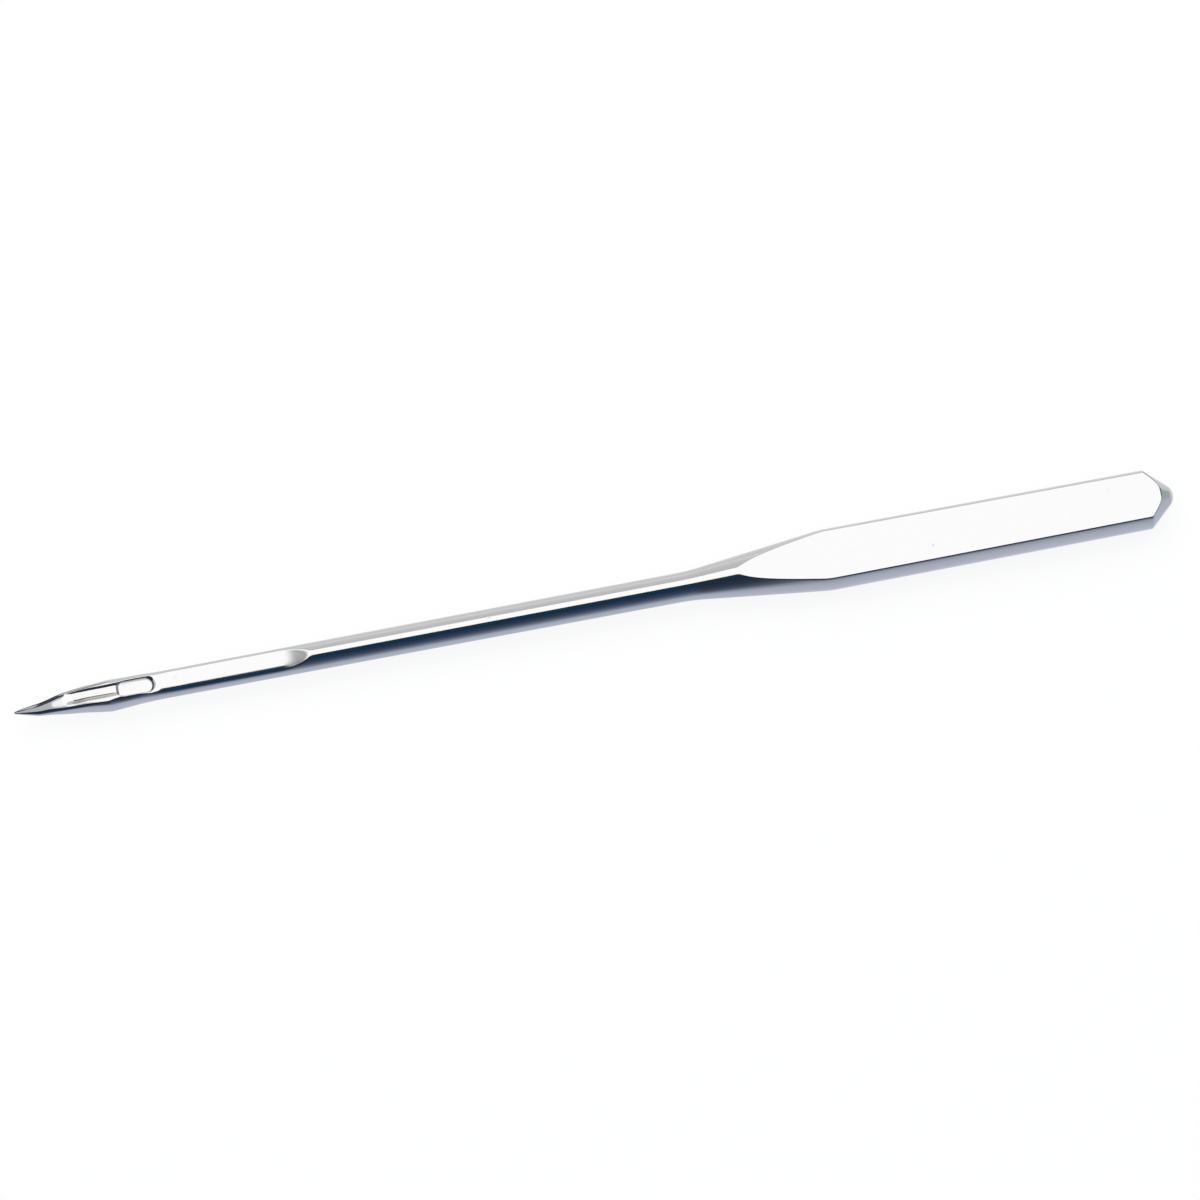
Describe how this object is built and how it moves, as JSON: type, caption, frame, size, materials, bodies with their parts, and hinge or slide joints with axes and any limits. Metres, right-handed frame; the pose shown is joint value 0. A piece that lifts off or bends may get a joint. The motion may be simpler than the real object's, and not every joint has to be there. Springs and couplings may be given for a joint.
{
  "type": "sewing machine needle",
  "caption": "Flat-shank sewing machine needle lying on its round back: chamfered butt, tapered shoulder, slender grooved blade, scarf, eye and rounded point.",
  "frame": {"origin": "middle of the small flat face at the end of the butt, on the needle's axis", "axes": "+X along the needle from the point to the butt, +Z out of the shank's flat and the scarf, -Z out of the long groove"},
  "size_m": [0.0386, 0.002, 0.0017],
  "materials": {
    "nickel_plated_steel": "hardened steel, nickel plated and polished bright, with fine lines along the blade"
  },
  "bodies": {
    "root": {"needle": "nickel_plated_steel"}
  },
  "joints": []
}
